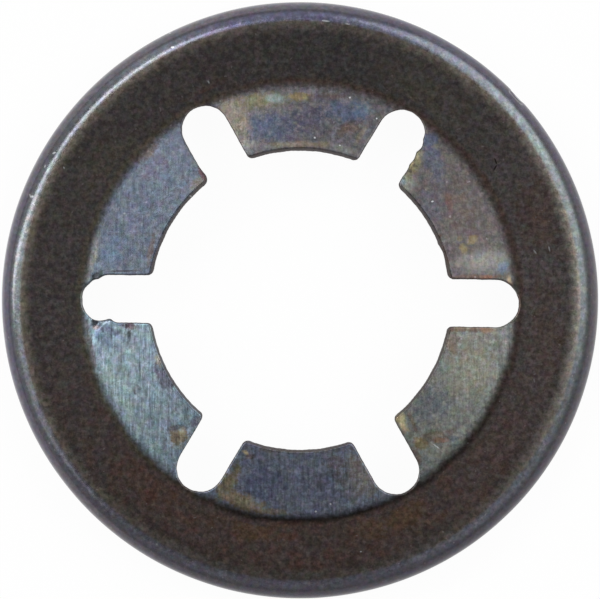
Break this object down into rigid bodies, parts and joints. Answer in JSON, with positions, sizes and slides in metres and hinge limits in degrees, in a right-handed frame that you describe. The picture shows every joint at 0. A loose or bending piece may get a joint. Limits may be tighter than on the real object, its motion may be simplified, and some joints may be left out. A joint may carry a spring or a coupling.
{
  "type": "push-on retaining ring",
  "caption": "Push-on retaining ring of thin spring steel: a turned-down rim and a dished band, with inward spring lugs that grip a plain round shaft.",
  "frame": {"origin": "centre of the circle that the rim's lower edge stands on", "axes": "+Z along the ring's axis, out of the show side, the way that the shaft comes through; +X points 0.87 degrees ahead of the middle of one slot"},
  "size_m": [0.0154, 0.0154, 0.0016],
  "materials": {
    "blued_spring_steel": "dark blued and oiled, with fine rolling grain and faint brown stains"
  },
  "bodies": {
    "root": {"retaining_ring": "blued_spring_steel"}
  },
  "joints": []
}
